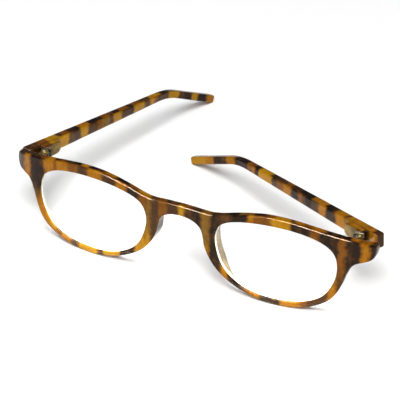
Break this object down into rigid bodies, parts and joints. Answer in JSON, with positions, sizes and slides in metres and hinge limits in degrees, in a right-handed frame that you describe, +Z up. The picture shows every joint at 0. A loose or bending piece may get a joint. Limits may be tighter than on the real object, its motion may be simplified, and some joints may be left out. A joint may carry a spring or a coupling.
{
  "type": "folding reading glasses",
  "caption": "Full-rim moulded reading glasses with clear lenses; slim temples with angled tails fold on small knuckle hinges behind the endpieces.",
  "frame": {"origin": "on the table under the centre of the overall bounding box of the glasses as they stand", "axes": "+X along the front towards the wearer's left temple seen from the front as the viewer's right, +Y back towards the ears, +Z up"},
  "size_m": [0.1393, 0.1262, 0.0345],
  "materials": {
    "tortoise_front": "glossy",
    "tortoise_temple": "glossy",
    "lens_clear": "clear",
    "hinge_brass": "plated",
    "hinge_steel": "plated",
    "screw_steel": "bright"
  },
  "bodies": {
    "front": {"front_frame": "tortoise_front", "lens_left": "lens_clear", "lens_right": "lens_clear", "front_leaf_left": "hinge_brass", "front_leaf_right": "hinge_brass", "hinge_screw_left": "screw_steel", "hinge_screw_right": "screw_steel"},
    "temple_left": {"temple_left": "tortoise_temple", "temple_leaf_left": "hinge_steel"},
    "temple_right": {"temple_right": "tortoise_temple", "temple_leaf_right": "hinge_steel"}
  },
  "joints": [
    {"name": "left_temple_fold", "type": "hinge", "parent": "front", "child": "temple_left", "pos_m": [-0.0612, -0.0484, 0.02548], "axis": [0, 0, -1], "range_deg": [-2, 34]},
    {"name": "right_temple_fold", "type": "hinge", "parent": "front", "child": "temple_right", "pos_m": [0.0612, -0.0484, 0.02548], "axis": [0, 0, 1], "range_deg": [-50.4, 28.6]}
  ]
}
